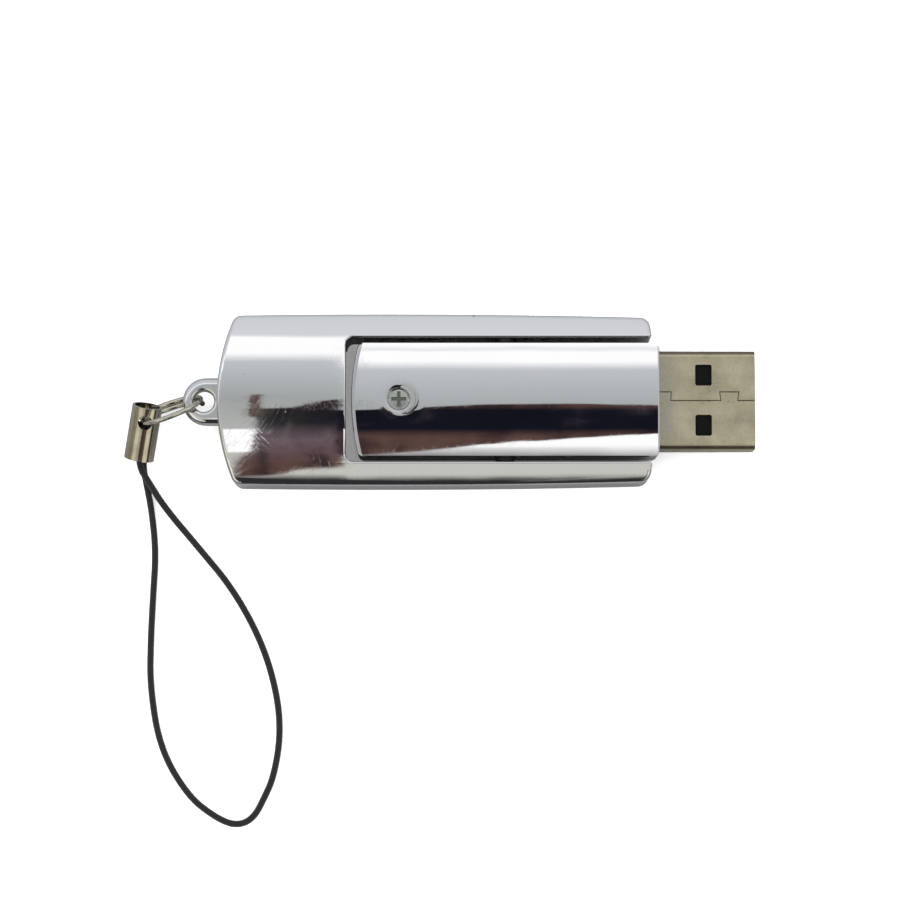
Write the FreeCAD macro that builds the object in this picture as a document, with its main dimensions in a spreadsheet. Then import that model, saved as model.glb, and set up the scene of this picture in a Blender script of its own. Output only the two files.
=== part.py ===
import FreeCAD, Part
import Sketcher
import math
import os

# Swing-out USB flash drive with a cord loop, in millimetres.
#
# A cast frame carries an eyelet at its left end and a slot between two rails. The memory unit hangs in
# the slot on two stub pins, so that it turns about a line across the frame: with the plug out to the
# right it is open, and half a turn brings the plug up into the pocket under the frame's left part.
# A split ring goes through the eyelet and through a ferrule that holds the two ends of the cord loop.
#
# Row frame: +X along the frame towards the plug, +Z up, the table at Z = 0. The frame's and the memory
# unit's pieces are drawn about the swing axis (X = 0 there) and placed at pivot_x; the strap's pieces
# are placed directly in the row frame.

os.makedirs("parts", exist_ok=True)
doc = FreeCAD.newDocument("usb_flash_drive")
sheet = doc.addObject("Spreadsheet::Sheet", "sizes")

SIZES = {
    # frame casting
    "pivot_x": 7.25,            # swing axis, from the row origin
    "pivot_z": 4.3,             # swing axis, above the table
    "end_radius": 26.65,        # the frame's left end, and the memory unit's
    "end_centre_x": -8.14,
    "right_end_radius": 60.0,
    "right_end_x": 18.2,        # where the rails' end curve crosses the middle line
    "side_radius": 1200.0,      # the long sides bow very slightly
    "side_peak_x": -14.5,
    "frame_half_width": 10.42,
    "frame_crown": 8.5,
    "dome_radius": 40.7,        # the top is a shallow barrel along X
    "frame_corner": 1.3,
    "rail_tip_corner": 0.35,
    "frame_top_edge": 0.5,
    "frame_low_edge": 0.35,
    "slot_edge": 0.22,
    "slot_left": -19.27,
    "slot_half_width": 7.5,
    "slot_corner": 0.9,
    "slot_right": 21.0,         # past the rails' ends
    "pocket_left": -31.0,
    "pocket_half_width": 6.6,
    "pocket_roof": 6.85,
    "pocket_corner": 1.0,
    "pin_bore": 0.8,
    "pin_bore_end": 8.95,
    # eyelet
    "lug_hole_x": -36.53,
    "lug_hole": 1.27,
    "lug_half_width": 2.9,
    "lug_tip_x": -39.12,
    "lug_corner": 2.82,
    "lug_root_x": -33.8,
    "lug_low": 3.25,
    "lug_thick": 2.1,
    "lug_edge": 0.88,
    "lug_hole_edge": 0.4,
    # memory unit housing
    "unit_end": 18.62,          # half length, from the swing axis
    "unit_half_width": 6.9,
    "unit_corner": 0.8,
    "unit_low": 0.2,            # lowest line of the underside's barrel
    "tray_rim": 7.25,
    "tray_floor": 1.25,
    "tray_wall": 0.75,
    "tray_end_wall": 0.9,
    "tray_left_inside": -16.5,
    "tray_low_edge": 0.3,
    "plug_gap": 0.04,
    "boss_radius": 1.75,
    "boss_top": 7.1,
    "cover_crown": 8.4,
    "cover_left_inset": 0.5,
    "cover_right_inset": 0.25,
    "cover_side_inset": 0.07,
    # cover screw
    "screw_x": -12.85,
    "screw_head": 1.325,
    "screw_head_top": 8.28,
    "screw_head_low": 7.62,
    "screw_shank": 0.68,
    "screw_tip": 3.0,
    "screw_seat": 1.41,
    "screw_hole": 0.72,
    "cross_long": 0.9,          # half length of one arm of the cross recess
    "cross_short": 0.22,
    "cross_deep": 0.4,
    # pivots
    "pin_radius": 0.75,
    "pin_end": 8.8,
    "pin_head": 1.3,
    "pin_head_thick": 0.35,
    "washer_radius": 1.15,
    "washer_inside": 0.78,
    "washer_start": 6.92,
    "washer_end": 7.44,
    # board and what is on it
    "board_left": -10.6,
    "board_right": 16.4,
    "board_half_width": 5.6,
    "board_low": 3.55,
    "board_thick": 0.8,
    "board_hole": 0.5,
    "cradle_right": 14.2,
    "cradle_wall": 1.2,
    "flash_left": -9.2,
    "flash_long": 11.0,
    "flash_half_width": 4.5,
    "chip_lift": 0.1,
    "flash_thick": 1.0,
    "controller_x": 8.6,
    "controller_half": 3.5,
    "controller_thick": 1.4,
    "lead_wide": 0.22,
    "lead_pitch": 0.5,
    "lead_reach": 1.0,
    "lead_thick": 0.15,
    "crystal_x": 9.0,
    "crystal_long": 3.2,
    "crystal_wide": 2.5,
    "crystal_thick": 0.75,
    "film_low": 5.87,
    "film_thick": 0.08,
    # plug, to the usual type A sizes
    "shell_left": 14.6,
    "shell_tip": 30.2,
    "shell_half_width": 6.0,
    "shell_high": 4.5,
    "shell_wall": 0.3,
    "shell_corner": 0.65,
    "window_left": 22.97,
    "window_right": 24.96,
    "window_inner": 1.78,
    "window_outer": 4.31,
    "window_corner": 0.25,
    "seam_wide": 0.12,
    "seam_deep": 0.18,
    "seam_high_y": 1.0,
    "seam_low_y": -0.05,
    "block_left": 16.6,
    "block_right": 18.8,
    "tongue_tip": 29.73,
    "tongue_half_width": 5.6,
    "contact_left": 15.0,
    "contact_long_tip": 29.0,
    "contact_short_tip": 28.0,
    "contact_wide": 1.0,
    "contact_thick": 0.15,
    # split ring
    "ring_radius": 3.82,
    "ring_wire": 0.31,
    "ring_pitch": 0.64,
    # ferrule and cord
    "ferrule_radius": 1.83,
    "ferrule_bore": 1.53,
    "ferrule_mouth": 1.77,      # from the cross-hole's centre up to the open mouth
    "ferrule_tail": 4.88,       # and down to the cord's end
    "ferrule_hole": 0.88,
    "anchor_start": 1.7,
    "anchor_end": 3.3,
    "cord_radius": 0.4,
}

for row, (alias, number) in enumerate(SIZES.items(), start=1):
    sheet.set(f"A{row}", alias)
    sheet.set(f"B{row}", str(number))
    sheet.setAlias(f"B{row}", alias)
doc.recompute()


class Size:
    """A length that carries both its number and the sheet expression that gives it."""

    def __init__(self, number, rule):
        self.number = number
        self.rule = rule

    def combine(self, other, sign, number):
        rule = other.rule if isinstance(other, Size) else repr(other)
        return Size(number, f"({self.rule} {sign} {rule})")

    def __add__(self, other):
        return self.combine(other, "+", self.number + plain(other))

    def __sub__(self, other):
        return self.combine(other, "-", self.number - plain(other))

    def __mul__(self, other):
        return self.combine(other, "*", self.number * plain(other))

    def __neg__(self):
        return Size(-self.number, f"(0 - {self.rule})")


def plain(length):
    """The number behind a Size, or the number itself."""
    return length.number if isinstance(length, Size) else float(length)


def fixed(number):
    return Size(float(number), repr(float(number)))


def size(alias):
    return Size(float(sheet.get(alias)), f"sizes.{alias}")


def bind(thing, name, length):
    """Bind a property to the sheet, or set it where the length is a bare number."""
    if isinstance(length, Size):
        thing.setExpression(name, length.rule)
    else:
        setattr(thing, name, length)


def put(thing, x=0.0, y=0.0, z=0.0):
    for axis, length in zip("xyz", (x, y, z)):
        if isinstance(length, Size):
            thing.setExpression(f"Placement.Base.{axis}", length.rule)
        else:
            thing.setExpression(f"Placement.Base.{axis}", repr(float(length)))
    return thing


# ---- Part primitives and booleans -----------------------------------------------------------------

TURN = {
    "X": FreeCAD.Rotation(FreeCAD.Vector(0, 1, 0), 90),
    "Y": FreeCAD.Rotation(FreeCAD.Vector(1, 0, 0), -90),
    "Z": FreeCAD.Rotation(),
}


def box(name, low, high):
    """A block between two corners, each a list of three lengths."""
    block = doc.addObject("Part::Box", name)
    for side, start, end in zip(("Length", "Width", "Height"), low, high):
        bind(block, side, as_size(end) - as_size(start))
    return put(block, *low)


def as_size(length):
    return length if isinstance(length, Size) else fixed(length)


def cylinder(name, radius, length, base, axis="Z"):
    """A cylinder that starts at base and runs along a row axis."""
    rod = doc.addObject("Part::Cylinder", name)
    bind(rod, "Radius", as_size(radius))
    bind(rod, "Height", as_size(length))
    rod.Placement = FreeCAD.Placement(FreeCAD.Vector(), TURN[axis])
    return put(rod, *base)


def cut(name, base, tool):
    result = doc.addObject("Part::Cut", name)
    result.Base = base
    result.Tool = tool
    return result


def common(name, *pieces):
    result = doc.addObject("Part::MultiCommon", name)
    result.Shapes = list(pieces)
    return result


def fuse(name, *pieces):
    result = doc.addObject("Part::MultiFuse", name)
    result.Shapes = list(pieces)
    result.Refine = True
    return result


def rounded(name, base, rounds):
    """Fillet the edges of base. rounds holds (radius, test) pairs, and a test picks edges."""
    doc.recompute()
    picked = []
    for number, edge in enumerate(base.Shape.Edges, start=1):
        for radius, test in rounds:
            if test(edge):
                picked.append((number, plain(radius), plain(radius)))
                break
    result = doc.addObject("Part::Fillet", name)
    result.Base = base
    result.Edges = picked
    return result


def middle(edge):
    """The point half way along an edge."""
    first, last = edge.ParameterRange
    return edge.valueAt((first + last) / 2)


def upright(edge):
    ends = [vertex.Point for vertex in edge.Vertexes]
    if len(ends) < 2:
        return False
    run = ends[1] - ends[0]
    return abs(run.x) < 1e-4 and abs(run.y) < 1e-4 and abs(run.z) > 1e-4


# ---- PartDesign bodies ----------------------------------------------------------------------------

def body(name):
    return doc.addObject("PartDesign::Body", name)


def sketch(owner, role):
    """A sketch on one of the body's own origin planes."""
    drawing = owner.newObject("Sketcher::SketchObject", owner.Name + "_sketch")
    plane = [item for item in owner.Origin.OriginFeatures if item.Role == role][0]
    drawing.AttachmentSupport = [(plane, "")]
    drawing.MapMode = "FlatFace"
    return drawing


def pin_down(drawing, element, point, x, y):
    """Hold one point of a sketch element at a place that the sheet gives."""
    for kind, length in (("DistanceX", x), ("DistanceY", y)):
        length = as_size(length)
        number = drawing.addConstraint(
            Sketcher.Constraint(kind, -1, 1, element, point, length.number))
        drawing.setExpression(f"Constraints[{number}]", length.rule)


def polygon(drawing, corners):
    """A closed outline of straight lines, every corner bound to the sheet."""
    first = drawing.GeometryCount
    count = len(corners)
    spots = [FreeCAD.Vector(plain(x), plain(y), 0) for x, y in corners]
    for index in range(count):
        line = Part.LineSegment(spots[index], spots[(index + 1) % count])
        drawing.addGeometry(line, False)
    for index in range(count):
        following = first + (index + 1) % count
        drawing.addConstraint(Sketcher.Constraint("Coincident", first + index, 2, following, 1))
    for index, (x, y) in enumerate(corners):
        pin_down(drawing, first + index, 1, x, y)


def rectangle(drawing, left, right, low, high):
    polygon(drawing, [(left, low), (right, low), (right, high), (left, high)])


def circle(drawing, x, y, radius):
    number = drawing.GeometryCount
    ring = Part.Circle(FreeCAD.Vector(plain(x), plain(y), 0), FreeCAD.Vector(0, 0, 1), plain(radius))
    drawing.addGeometry(ring, False)
    pin_down(drawing, number, 3, x, y)
    held = drawing.addConstraint(Sketcher.Constraint("Radius", number, plain(radius)))
    drawing.setExpression(f"Constraints[{held}]", as_size(radius).rule)


def pad(owner, drawing, length):
    feature = owner.newObject("PartDesign::Pad", owner.Name + "_pad")
    feature.Profile = drawing
    bind(feature, "Length", as_size(length))
    return feature


def pocket(owner, drawing, length, along):
    """Cut a sketch into the body, towards the given side, and check that it removed something."""
    doc.recompute()
    before = owner.Shape.Volume
    feature = owner.newObject("PartDesign::Pocket", owner.Name + "_pocket")
    feature.Profile = drawing
    feature.Reversed = along
    bind(feature, "Length", as_size(length))
    doc.recompute()
    if owner.Shape.Volume > before - 1e-4:
        raise ValueError(f"{owner.Name}: the pocket cuts nothing")
    return feature


# ---- the frame casting ----------------------------------------------------------------------------

def long_side(name, side):
    """A huge disc whose rim is one of the frame's bowed sides; side is +1 or -1."""
    away = (size("side_radius") - size("frame_half_width")) * -side
    return cylinder(name, size("side_radius"), size("frame_crown"), (size("side_peak_x"), away, 0))


def barrel_top(name, crown):
    """A long cylinder along X whose top line is at the crown."""
    return cylinder(name, size("dome_radius"), 120.0, (-60.0, 0, crown - size("dome_radius")), "X")


def frame_block():
    disc = cylinder("frame_disc", size("end_radius"), size("frame_crown"), (size("end_centre_x"), 0, 0))
    forward = box("frame_forward", (size("end_centre_x"), -size("pin_bore_end") * 2, 0),
                  (size("slot_right"), size("pin_bore_end") * 2, size("frame_crown")))
    right_end = cylinder("frame_right_end", size("right_end_radius"), size("frame_crown"),
                         (size("right_end_x") - size("right_end_radius"), 0, 0))
    outline = common("frame_outline", fuse("frame_length", disc, forward), right_end,
                     long_side("frame_side_front", -1), long_side("frame_side_back", 1))
    slot = box("slot_space",
               (size("slot_left"), -size("slot_half_width"), -1.0),
               (size("slot_right"), size("slot_half_width"), 10.0))
    slot_rounded = rounded("slot_rounded", slot, [
        (size("slot_corner"), lambda edge: upright(edge) and middle(edge).x < 0)])
    rails = cut("frame_rails", outline, slot_rounded)

    def outer_corner(edge):
        return upright(edge) and abs(middle(edge).y) > 9

    def rail_tip(edge):
        return upright(edge) and middle(edge).x > 10

    return rounded("frame_corners", rails, [
        (size("frame_corner"), outer_corner),
        (size("rail_tip_corner"), rail_tip)])


def plug_pocket():
    space = box("pocket_space",
                (size("pocket_left"), -size("pocket_half_width"), -1.0),
                (size("slot_left") + 1.0, size("pocket_half_width"), size("pocket_roof")))
    return rounded("pocket_rounded", space, [
        (size("pocket_corner"), lambda edge: upright(edge) and middle(edge).x < plain(size("slot_left")))])


def lug():
    """The eyelet: a rounded tongue with a hole, at mid height of the frame's left end."""
    tongue = box("lug_tongue",
                 (size("lug_tip_x"), -size("lug_half_width"), size("lug_low")),
                 (size("lug_root_x"), size("lug_half_width"), size("lug_low") + size("lug_thick")))
    shaped = rounded("lug_shaped", tongue, [
        (size("lug_corner"), lambda edge: upright(edge) and middle(edge).x < plain(size("lug_hole_x")))])
    hole = cylinder("lug_hole_tool", size("lug_hole"), 12.0, (size("lug_hole_x"), 0, 0))
    blank = cut("lug_blank", shaped, hole)

    def rim(edge):
        level = middle(edge).z - plain(size("lug_low"))
        flat = abs(level) < 0.01 or abs(level - plain(size("lug_thick"))) < 0.01
        return flat and middle(edge).x < plain(size("lug_root_x")) - 0.1

    def hole_rim(edge):
        return rim(edge) and len(edge.Vertexes) == 1

    return rounded("lug_rounded", blank, [
        (size("lug_hole_edge"), hole_rim),
        (size("lug_edge"), rim)])


def outer_frame():
    block = common("frame_domed", frame_block(), barrel_top("frame_barrel", size("frame_crown")))
    hollow = cut("frame_hollow", block, plug_pocket())
    bores = fuse("pin_bores", *[
        cylinder(f"pin_bore_{name}", size("pin_bore"), size("pin_bore_end"),
                 (0, start, size("pivot_z")), "Y")
        for name, start in (("front", -size("pin_bore_end")), ("back", 0))])
    bored = cut("frame_bored", hollow, bores)

    def on_top(edge):
        return any_face(edge, bored, is_barrel)

    def outside(edge):
        spot = middle(edge)
        return abs(spot.y) > 8.4 or spot.x < -21 or (spot.x > 16.5 and abs(spot.y) > 7.9)

    def top_outside(edge):
        return on_top(edge) and outside(edge)

    def slot_rim(edge):
        return on_top(edge) and not outside(edge)

    def low_outside(edge):
        spot = middle(edge)
        return spot.z < 0.01 and (abs(spot.y) > 8.4 or spot.x < -32)

    edged = rounded("frame_edged", bored, [
        (size("frame_top_edge"), top_outside),
        (size("slot_edge"), slot_rim),
        (size("frame_low_edge"), low_outside)])
    return placed(fuse("outer_frame", edged, lug()))


def is_barrel(face):
    surface = face.Surface
    return surface.TypeId == "Part::GeomCylinder" and \
        abs(surface.Radius - plain(size("dome_radius"))) < 1e-3


def any_face(edge, owner, test):
    """True if the edge borders a face of owner that passes the test."""
    return any(test(face) for face in owner.Shape.ancestorsOfType(edge, Part.Face))


def placed(piece):
    """Put a finished piece that was drawn about the swing axis into the row frame."""
    return put(piece, size("pivot_x"))


# ---- the memory unit's housing --------------------------------------------------------------------

def unit_outline(name, left, right, half_width, low, high):
    """A block whose left end follows the frame's end circle; left and right are its end lines."""
    slab = box(name + "_slab", (left - 1.0, -half_width, low), (right, half_width, high))
    disc = cylinder(name + "_disc", size("end_radius"), high - low, (left + size("end_radius"), 0, low))
    return common(name, slab, disc)


def drive_body():
    """The tray: walls, floor, screw boss, and the end wall with the plug's window."""
    blank = unit_outline("tray_blank", -size("unit_end"), size("unit_end"), size("unit_half_width"),
                         fixed(0), size("tray_rim"))
    corners = rounded("tray_corners", blank, [(size("unit_corner"), upright)])
    barrel = cylinder("tray_barrel", size("dome_radius"), 120.0,
                      (-60.0, 0, size("unit_low") + size("dome_radius")), "X")
    domed = common("tray_domed", corners, barrel)

    def rim(edge):
        return middle(edge).z > plain(size("tray_rim")) - 0.01

    edged = rounded("tray_edged", domed, [
        (fixed(0.2), rim),
        (size("tray_low_edge"), lambda edge: middle(edge).z < 2 and not upright(edge))])
    inside_y = size("unit_half_width") - size("tray_wall")
    cavity = box("tray_cavity",
                 (size("tray_left_inside"), -inside_y, size("tray_floor")),
                 (size("unit_end") - size("tray_end_wall"), inside_y, 9.0))
    boss = cylinder("tray_boss", size("boss_radius"), size("boss_top") - 1.0, (size("screw_x"), 0, 1.0))
    walls = fuse("tray_walls", cut("tray_hollow", edged, cavity), boss)
    gap = size("plug_gap")
    half_high = size("shell_high") * 0.5 + gap
    window = box("tray_window",
                 (size("unit_end") - 2.0, -(size("shell_half_width") + gap), size("pivot_z") - half_high),
                 (size("unit_end") + 1.0, size("shell_half_width") + gap, size("pivot_z") + half_high))
    pins = cylinder("tray_pin_holes", size("pin_radius"), 20.0, (0, -10.0, size("pivot_z")), "Y")
    thread = cylinder("tray_thread", size("screw_hole"), 5.0, (size("screw_x"), 0, 2.6))
    tools = fuse("tray_tools", window, pins, thread)
    return placed(cut("drive_body", walls, tools))


def drive_cover():
    """The polished lid: a sharp-edged barrelled plate with a seat for the screw."""
    low = size("tray_rim")
    blank = unit_outline("cover_blank",
                         -size("unit_end") + size("cover_left_inset"),
                         size("unit_end") - size("cover_right_inset"),
                         size("unit_half_width") - size("cover_side_inset"),
                         low, size("cover_crown"))
    domed = common("cover_domed", blank, barrel_top("cover_barrel", size("cover_crown")))
    inside_y = size("unit_half_width") - size("tray_wall") - 0.1
    rib = box("cover_rib",
              (size("tray_left_inside") + 0.1, -inside_y, low - 0.6),
              (size("unit_end") - size("tray_end_wall") - 0.1, inside_y, low))
    rib_space = box("cover_rib_space",
                    (size("tray_left_inside") + 0.9, -(inside_y - 0.8), low - 1.0),
                    (size("unit_end") - size("tray_end_wall") - 0.9, inside_y - 0.8, low))
    plate = fuse("cover_plate", domed, cut("cover_lip", rib, rib_space))
    seat = cylinder("cover_seat", size("screw_seat"), 3.0, (size("screw_x"), 0, size("screw_head_low")))
    hole = cylinder("cover_hole", size("screw_hole"), 5.0, (size("screw_x"), 0, 5.0))
    relief = cylinder("cover_boss_relief", size("boss_radius") + 0.1, 3.0,
                      (size("screw_x"), 0, low - 3.0))
    return placed(cut("drive_cover", plate, fuse("cover_tools", seat, hole, relief)))


def cover_screw():
    """Pan screw: a turned profile, then the cross recess in its head."""
    screw = body("cover_screw")
    profile = sketch(screw, "XZ_Plane")
    polygon(profile, [
        (fixed(0), size("screw_tip")),
        (size("screw_shank") * 0.4, size("screw_tip")),
        (size("screw_shank"), size("screw_tip") + 0.6),
        (size("screw_shank"), size("screw_head_low")),
        (size("screw_head"), size("screw_head_low")),
        (size("screw_head"), size("screw_head_top") - 0.16),
        (size("screw_head") - 0.2, size("screw_head_top") - 0.03),
        (fixed(0), size("screw_head_top"))])
    turned = screw.newObject("PartDesign::Revolution", "screw_turned")
    turned.Profile = profile
    turned.ReferenceAxis = (profile, ["V_Axis"])
    turned.Angle = 360
    cross = sketch(screw, "XY_Plane")
    cross.setExpression("AttachmentOffset.Base.z", size("screw_head_top").rule)
    long_arm = size("cross_long")
    short_arm = size("cross_short")
    polygon(cross, [
        (-long_arm, -short_arm), (-short_arm, -short_arm), (-short_arm, -long_arm),
        (short_arm, -long_arm), (short_arm, -short_arm), (long_arm, -short_arm),
        (long_arm, short_arm), (short_arm, short_arm), (short_arm, long_arm),
        (-short_arm, long_arm), (-short_arm, short_arm), (-long_arm, short_arm)])
    pocket(screw, cross, size("cross_deep"), False)
    return put(screw, size("pivot_x") + size("screw_x"))


def pivot_pins():
    """Two headed stub pins, pressed through the tray's side walls into the rails' blind bores."""
    inside = size("unit_half_width") - size("tray_wall")
    pins = []
    for name, side in (("front", -1), ("back", 1)):
        start = inside - size("pin_head_thick")
        head_at = start if side > 0 else -inside
        rod_at = start if side > 0 else -size("pin_end")
        head = cylinder(f"pin_head_{name}", size("pin_head"), size("pin_head_thick"),
                        (0, head_at, size("pivot_z")), "Y")
        rod = cylinder(f"pin_rod_{name}", size("pin_radius"), size("pin_end") - start,
                       (0, rod_at, size("pivot_z")), "Y")
        pins.append(fuse(f"pin_{name}", head, rod))
    group = doc.addObject("Part::Compound", "pivot_pins")
    group.Links = pins
    return placed(group)


def pivot_washers():
    washers = []
    for name, side in (("front", -1), ("back", 1)):
        start = size("washer_start") if side > 0 else -size("washer_end")
        thick = size("washer_end") - size("washer_start")
        disc = cylinder(f"washer_disc_{name}", size("washer_radius"), thick,
                        (0, start, size("pivot_z")), "Y")
        hole = cylinder(f"washer_hole_{name}", size("washer_inside"), 20.0,
                        (0, -10.0, size("pivot_z")), "Y")
        washers.append(cut(f"washer_{name}", disc, hole))
    group = doc.addObject("Part::Compound", "pivot_washers")
    group.Links = washers
    return placed(group)


# ---- the board and what is on it ------------------------------------------------------------------

def plate_body(name, outline, holes, low, thick):
    """A flat body: a sketched outline with round holes, padded up from its own level."""
    plate = body(name)
    drawing = sketch(plate, "XY_Plane")
    polygon(drawing, outline)
    for x, y, radius in holes:
        circle(drawing, x, y, radius)
    pad(plate, drawing, thick)
    return put(plate, size("pivot_x"), 0, low)


def circuit_board():
    left = size("board_left")
    right = size("board_right")
    half = size("board_half_width")
    notch = 0.7
    outline = [(left, -half), (right, -half), (right, half), (left, half),
               (left, fixed(notch)), (left + notch, fixed(notch)),
               (left + notch, fixed(-notch)), (left, fixed(-notch))]
    holes = [(right - 3.4, y, size("board_hole")) for y in (4.7, -4.7)]
    return plate_body("circuit_board", outline, holes, size("board_low"), size("board_thick"))


def board_cradle():
    """Black plastic frame that holds the board off the tray's floor."""
    left = size("board_left")
    right = size("cradle_right")
    half = size("board_half_width") - 0.05
    wall = size("cradle_wall")
    cradle = body("board_cradle")
    drawing = sketch(cradle, "XY_Plane")
    rectangle(drawing, left, right, -half, half)
    middle_x = 2.0
    for start, end in ((left + wall, fixed(middle_x) - 0.5), (fixed(middle_x) + 0.5, right - wall)):
        rectangle(drawing, start, end, -half + wall, half - wall)
    pad(cradle, drawing, size("board_low") - size("tray_floor"))
    return put(cradle, size("pivot_x"), 0, size("tray_floor"))


def chip(name, left, long, half_width, low, thick, edge):
    """A moulded package with its top edges drafted by a chamfer."""
    package = body(name)
    drawing = sketch(package, "XY_Plane")
    rectangle(drawing, left, left + long, -half_width, half_width)
    padded = pad(package, drawing, thick)
    doc.recompute()
    top = [f"Edge{number}" for number, item in enumerate(package.Shape.Edges, start=1)
           if middle(item).z > plain(thick) - 0.01]
    bevel = package.newObject("PartDesign::Chamfer", name + "_bevel")
    bevel.Base = (padded, top)
    bevel.Size = edge
    return put(package, size("pivot_x"), 0, low)


def board_top():
    return size("board_low") + size("board_thick")


def flash_chip():
    return chip("flash_chip", size("flash_left"), size("flash_long"), size("flash_half_width"),
                board_top() + size("chip_lift"), size("flash_thick"), 0.1)


def controller_chip():
    half = size("controller_half")
    return chip("controller_chip", size("controller_x") - half, half * 2, half,
                board_top() + size("chip_lift"), size("controller_thick"), 0.15)


def lead(name, along, side, offset):
    """One gull-wing lead: a foot on the board, a riser, and a shoulder at the package."""
    half = size("controller_half")
    thick = size("lead_thick")
    reach = size("lead_reach")
    rise = size("controller_thick") * 0.5
    wide = size("lead_wide") * 0.5
    spans = [
        (half + reach * 0.45, half + reach, fixed(0), thick),
        (half + reach * 0.45, half + reach * 0.45 + thick, fixed(0), rise + thick),
        (half, half + reach * 0.45 + thick, rise, rise + thick)]
    blocks = []
    for index, (start, end, low, high) in enumerate(spans):
        near, far = (start, end) if side > 0 else (-end, -start)
        across_low, across_high = fixed(offset) - wide, fixed(offset) + wide
        base = board_top()
        if along == "x":
            corners = ((size("controller_x") + near, across_low, base + low),
                       (size("controller_x") + far, across_high, base + high))
        else:
            corners = ((size("controller_x") + across_low, near, base + low),
                       (size("controller_x") + across_high, far, base + high))
        blocks.append(box(f"{name}_{index}", *corners))
    return fuse(name, *blocks)


def controller_leads():
    """Twelve leads on each side of the controller, on a 0.5 mm pitch."""
    leads = []
    per_side = 12
    pitch = SIZES["lead_pitch"]
    for along in ("x", "y"):
        for side in (-1, 1):
            for index in range(per_side):
                offset = (index - (per_side - 1) / 2) * pitch
                leads.append(lead(f"lead_{along}{'n' if side < 0 else 'p'}{index}", along, side, offset))
    group = doc.addObject("Part::Compound", "controller_leads")
    group.Links = leads
    return placed(group)


def crystal():
    """The clock crystal's can, under the board."""
    can = body("crystal")
    drawing = sketch(can, "XY_Plane")
    half_long = size("crystal_long") * 0.5
    half_wide = size("crystal_wide") * 0.5
    rectangle(drawing, -half_long, half_long, -half_wide, half_wide)
    padded = pad(can, drawing, size("crystal_thick"))
    doc.recompute()
    corners = [f"Edge{number}" for number, item in enumerate(can.Shape.Edges, start=1) if upright(item)]
    fillet = can.newObject("PartDesign::Fillet", "crystal_fillet")
    fillet.Base = (padded, corners)
    fillet.Radius = 0.4
    return put(can, size("pivot_x") + size("crystal_x"), 0, size("board_low") - size("crystal_thick"))


def chip_parts(name, places, long, wide, high):
    """A group of equal small parts soldered under the board, each a plain block."""
    blocks = []
    top = size("board_low")
    for index, (x, y) in enumerate(places):
        blocks.append(box(f"{name}_{index}",
                          (fixed(x - long / 2), fixed(y - wide / 2), top - high),
                          (fixed(x + long / 2), fixed(y + wide / 2), top)))
    group = doc.addObject("Part::Compound", name)
    group.Links = blocks
    return placed(group)


def capacitors():
    return chip_parts("capacitors", [(-7.0, 2.0), (-7.0, -2.0), (-3.6, 0.0), (5.2, 2.6), (5.2, -2.6)],
                      1.6, 0.8, 0.8)


def resistors():
    return chip_parts("resistors", [(-1.0, 2.6), (-1.0, -2.6), (12.0, 1.8), (12.0, -1.8)], 1.0, 0.5, 0.35)


def insulating_film():
    left = size("board_left") + 0.4
    right = size("cradle_right")
    half = size("board_half_width") - 0.2
    outline = [(left, -half), (right, -half), (right, half), (left, half)]
    return plate_body("insulating_film", outline, [], size("film_low"), size("film_thick"))


# ---- the plug -------------------------------------------------------------------------------------

def shell_tube(name, inset, left, right):
    """A rounded rectangular bar along X, inset from the plug's outside."""
    half_y = size("shell_half_width") - inset
    half_z = size("shell_high") * 0.5 - inset
    bar = box(name, (left, -half_y, size("pivot_z") - half_z), (right, half_y, size("pivot_z") + half_z))

    def lengthwise(edge):
        ends = [vertex.Point for vertex in edge.Vertexes]
        return abs(ends[1].x - ends[0].x) > 1

    return rounded(name + "_rounded", bar, [(size("shell_corner") - inset, lengthwise)])


def shell_windows():
    """The four latch windows: two in the top wall and two in the bottom wall."""
    windows = []
    for name, side in (("front", -1), ("back", 1)):
        low, high = size("window_inner"), size("window_outer")
        near, far = (low, high) if side > 0 else (-high, -low)
        hole = box(f"window_{name}", (size("window_left"), near, 0), (size("window_right"), far, 9.0))
        windows.append(rounded(f"window_{name}_rounded", hole, [(size("window_corner"), upright)]))
    return windows


def shell_seam():
    """The rolled shell's joint line, a shallow groove that steps round two dovetails."""
    high, low = size("seam_high_y"), size("seam_low_y")
    wide = size("seam_wide") * 0.5
    top = size("pivot_z") + size("shell_high") * 0.5
    deep = size("seam_deep")
    steps = [(size("shell_left") - 1.0, high), (fixed(20.07), high), (fixed(20.0), low),
             (fixed(26.07), low), (fixed(25.92), high), (fixed(28.24), high), (fixed(28.09), low),
             (size("shell_tip") + 1.0, low)]
    corners = [(x, y + wide) for x, y in steps] + [(x, y - wide) for x, y in reversed(steps)]
    offsets = [0, 1, 1, -1, -1, 1, 1, 0]
    moved = []
    for index, (x, y) in enumerate(corners):
        at = index if index < len(steps) else 2 * len(steps) - 1 - index
        push = offsets[at] if index < len(steps) else -offsets[at]
        moved.append((x + wide * push, y))
    groove = body("seam_groove")
    drawing = sketch(groove, "XY_Plane")
    polygon(drawing, moved)
    pad(groove, drawing, deep * 2)
    return put(groove, 0, 0, top - deep)


def usb_shell():
    wall = size("shell_wall")
    outside = shell_tube("shell_outside", fixed(0), size("shell_left"), size("shell_tip"))
    inside = shell_tube("shell_inside", wall, size("shell_left") - 1.0, size("shell_tip") + 1.0)
    windows = shell_windows()
    doc.recompute()

    def tip_corner(edge):
        spot = middle(edge)
        at_tip = abs(spot.x - plain(size("shell_tip"))) < 0.01
        return at_tip and any_face(edge, outside, lambda face: face.Surface.TypeId == "Part::GeomPlane")

    bevelled = rounded("shell_bevelled", outside, [(fixed(0.12), tip_corner)])
    tools = fuse("shell_tools", inside, *windows)
    return placed(cut("usb_shell", cut("shell_open", bevelled, tools), shell_seam()))


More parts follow.
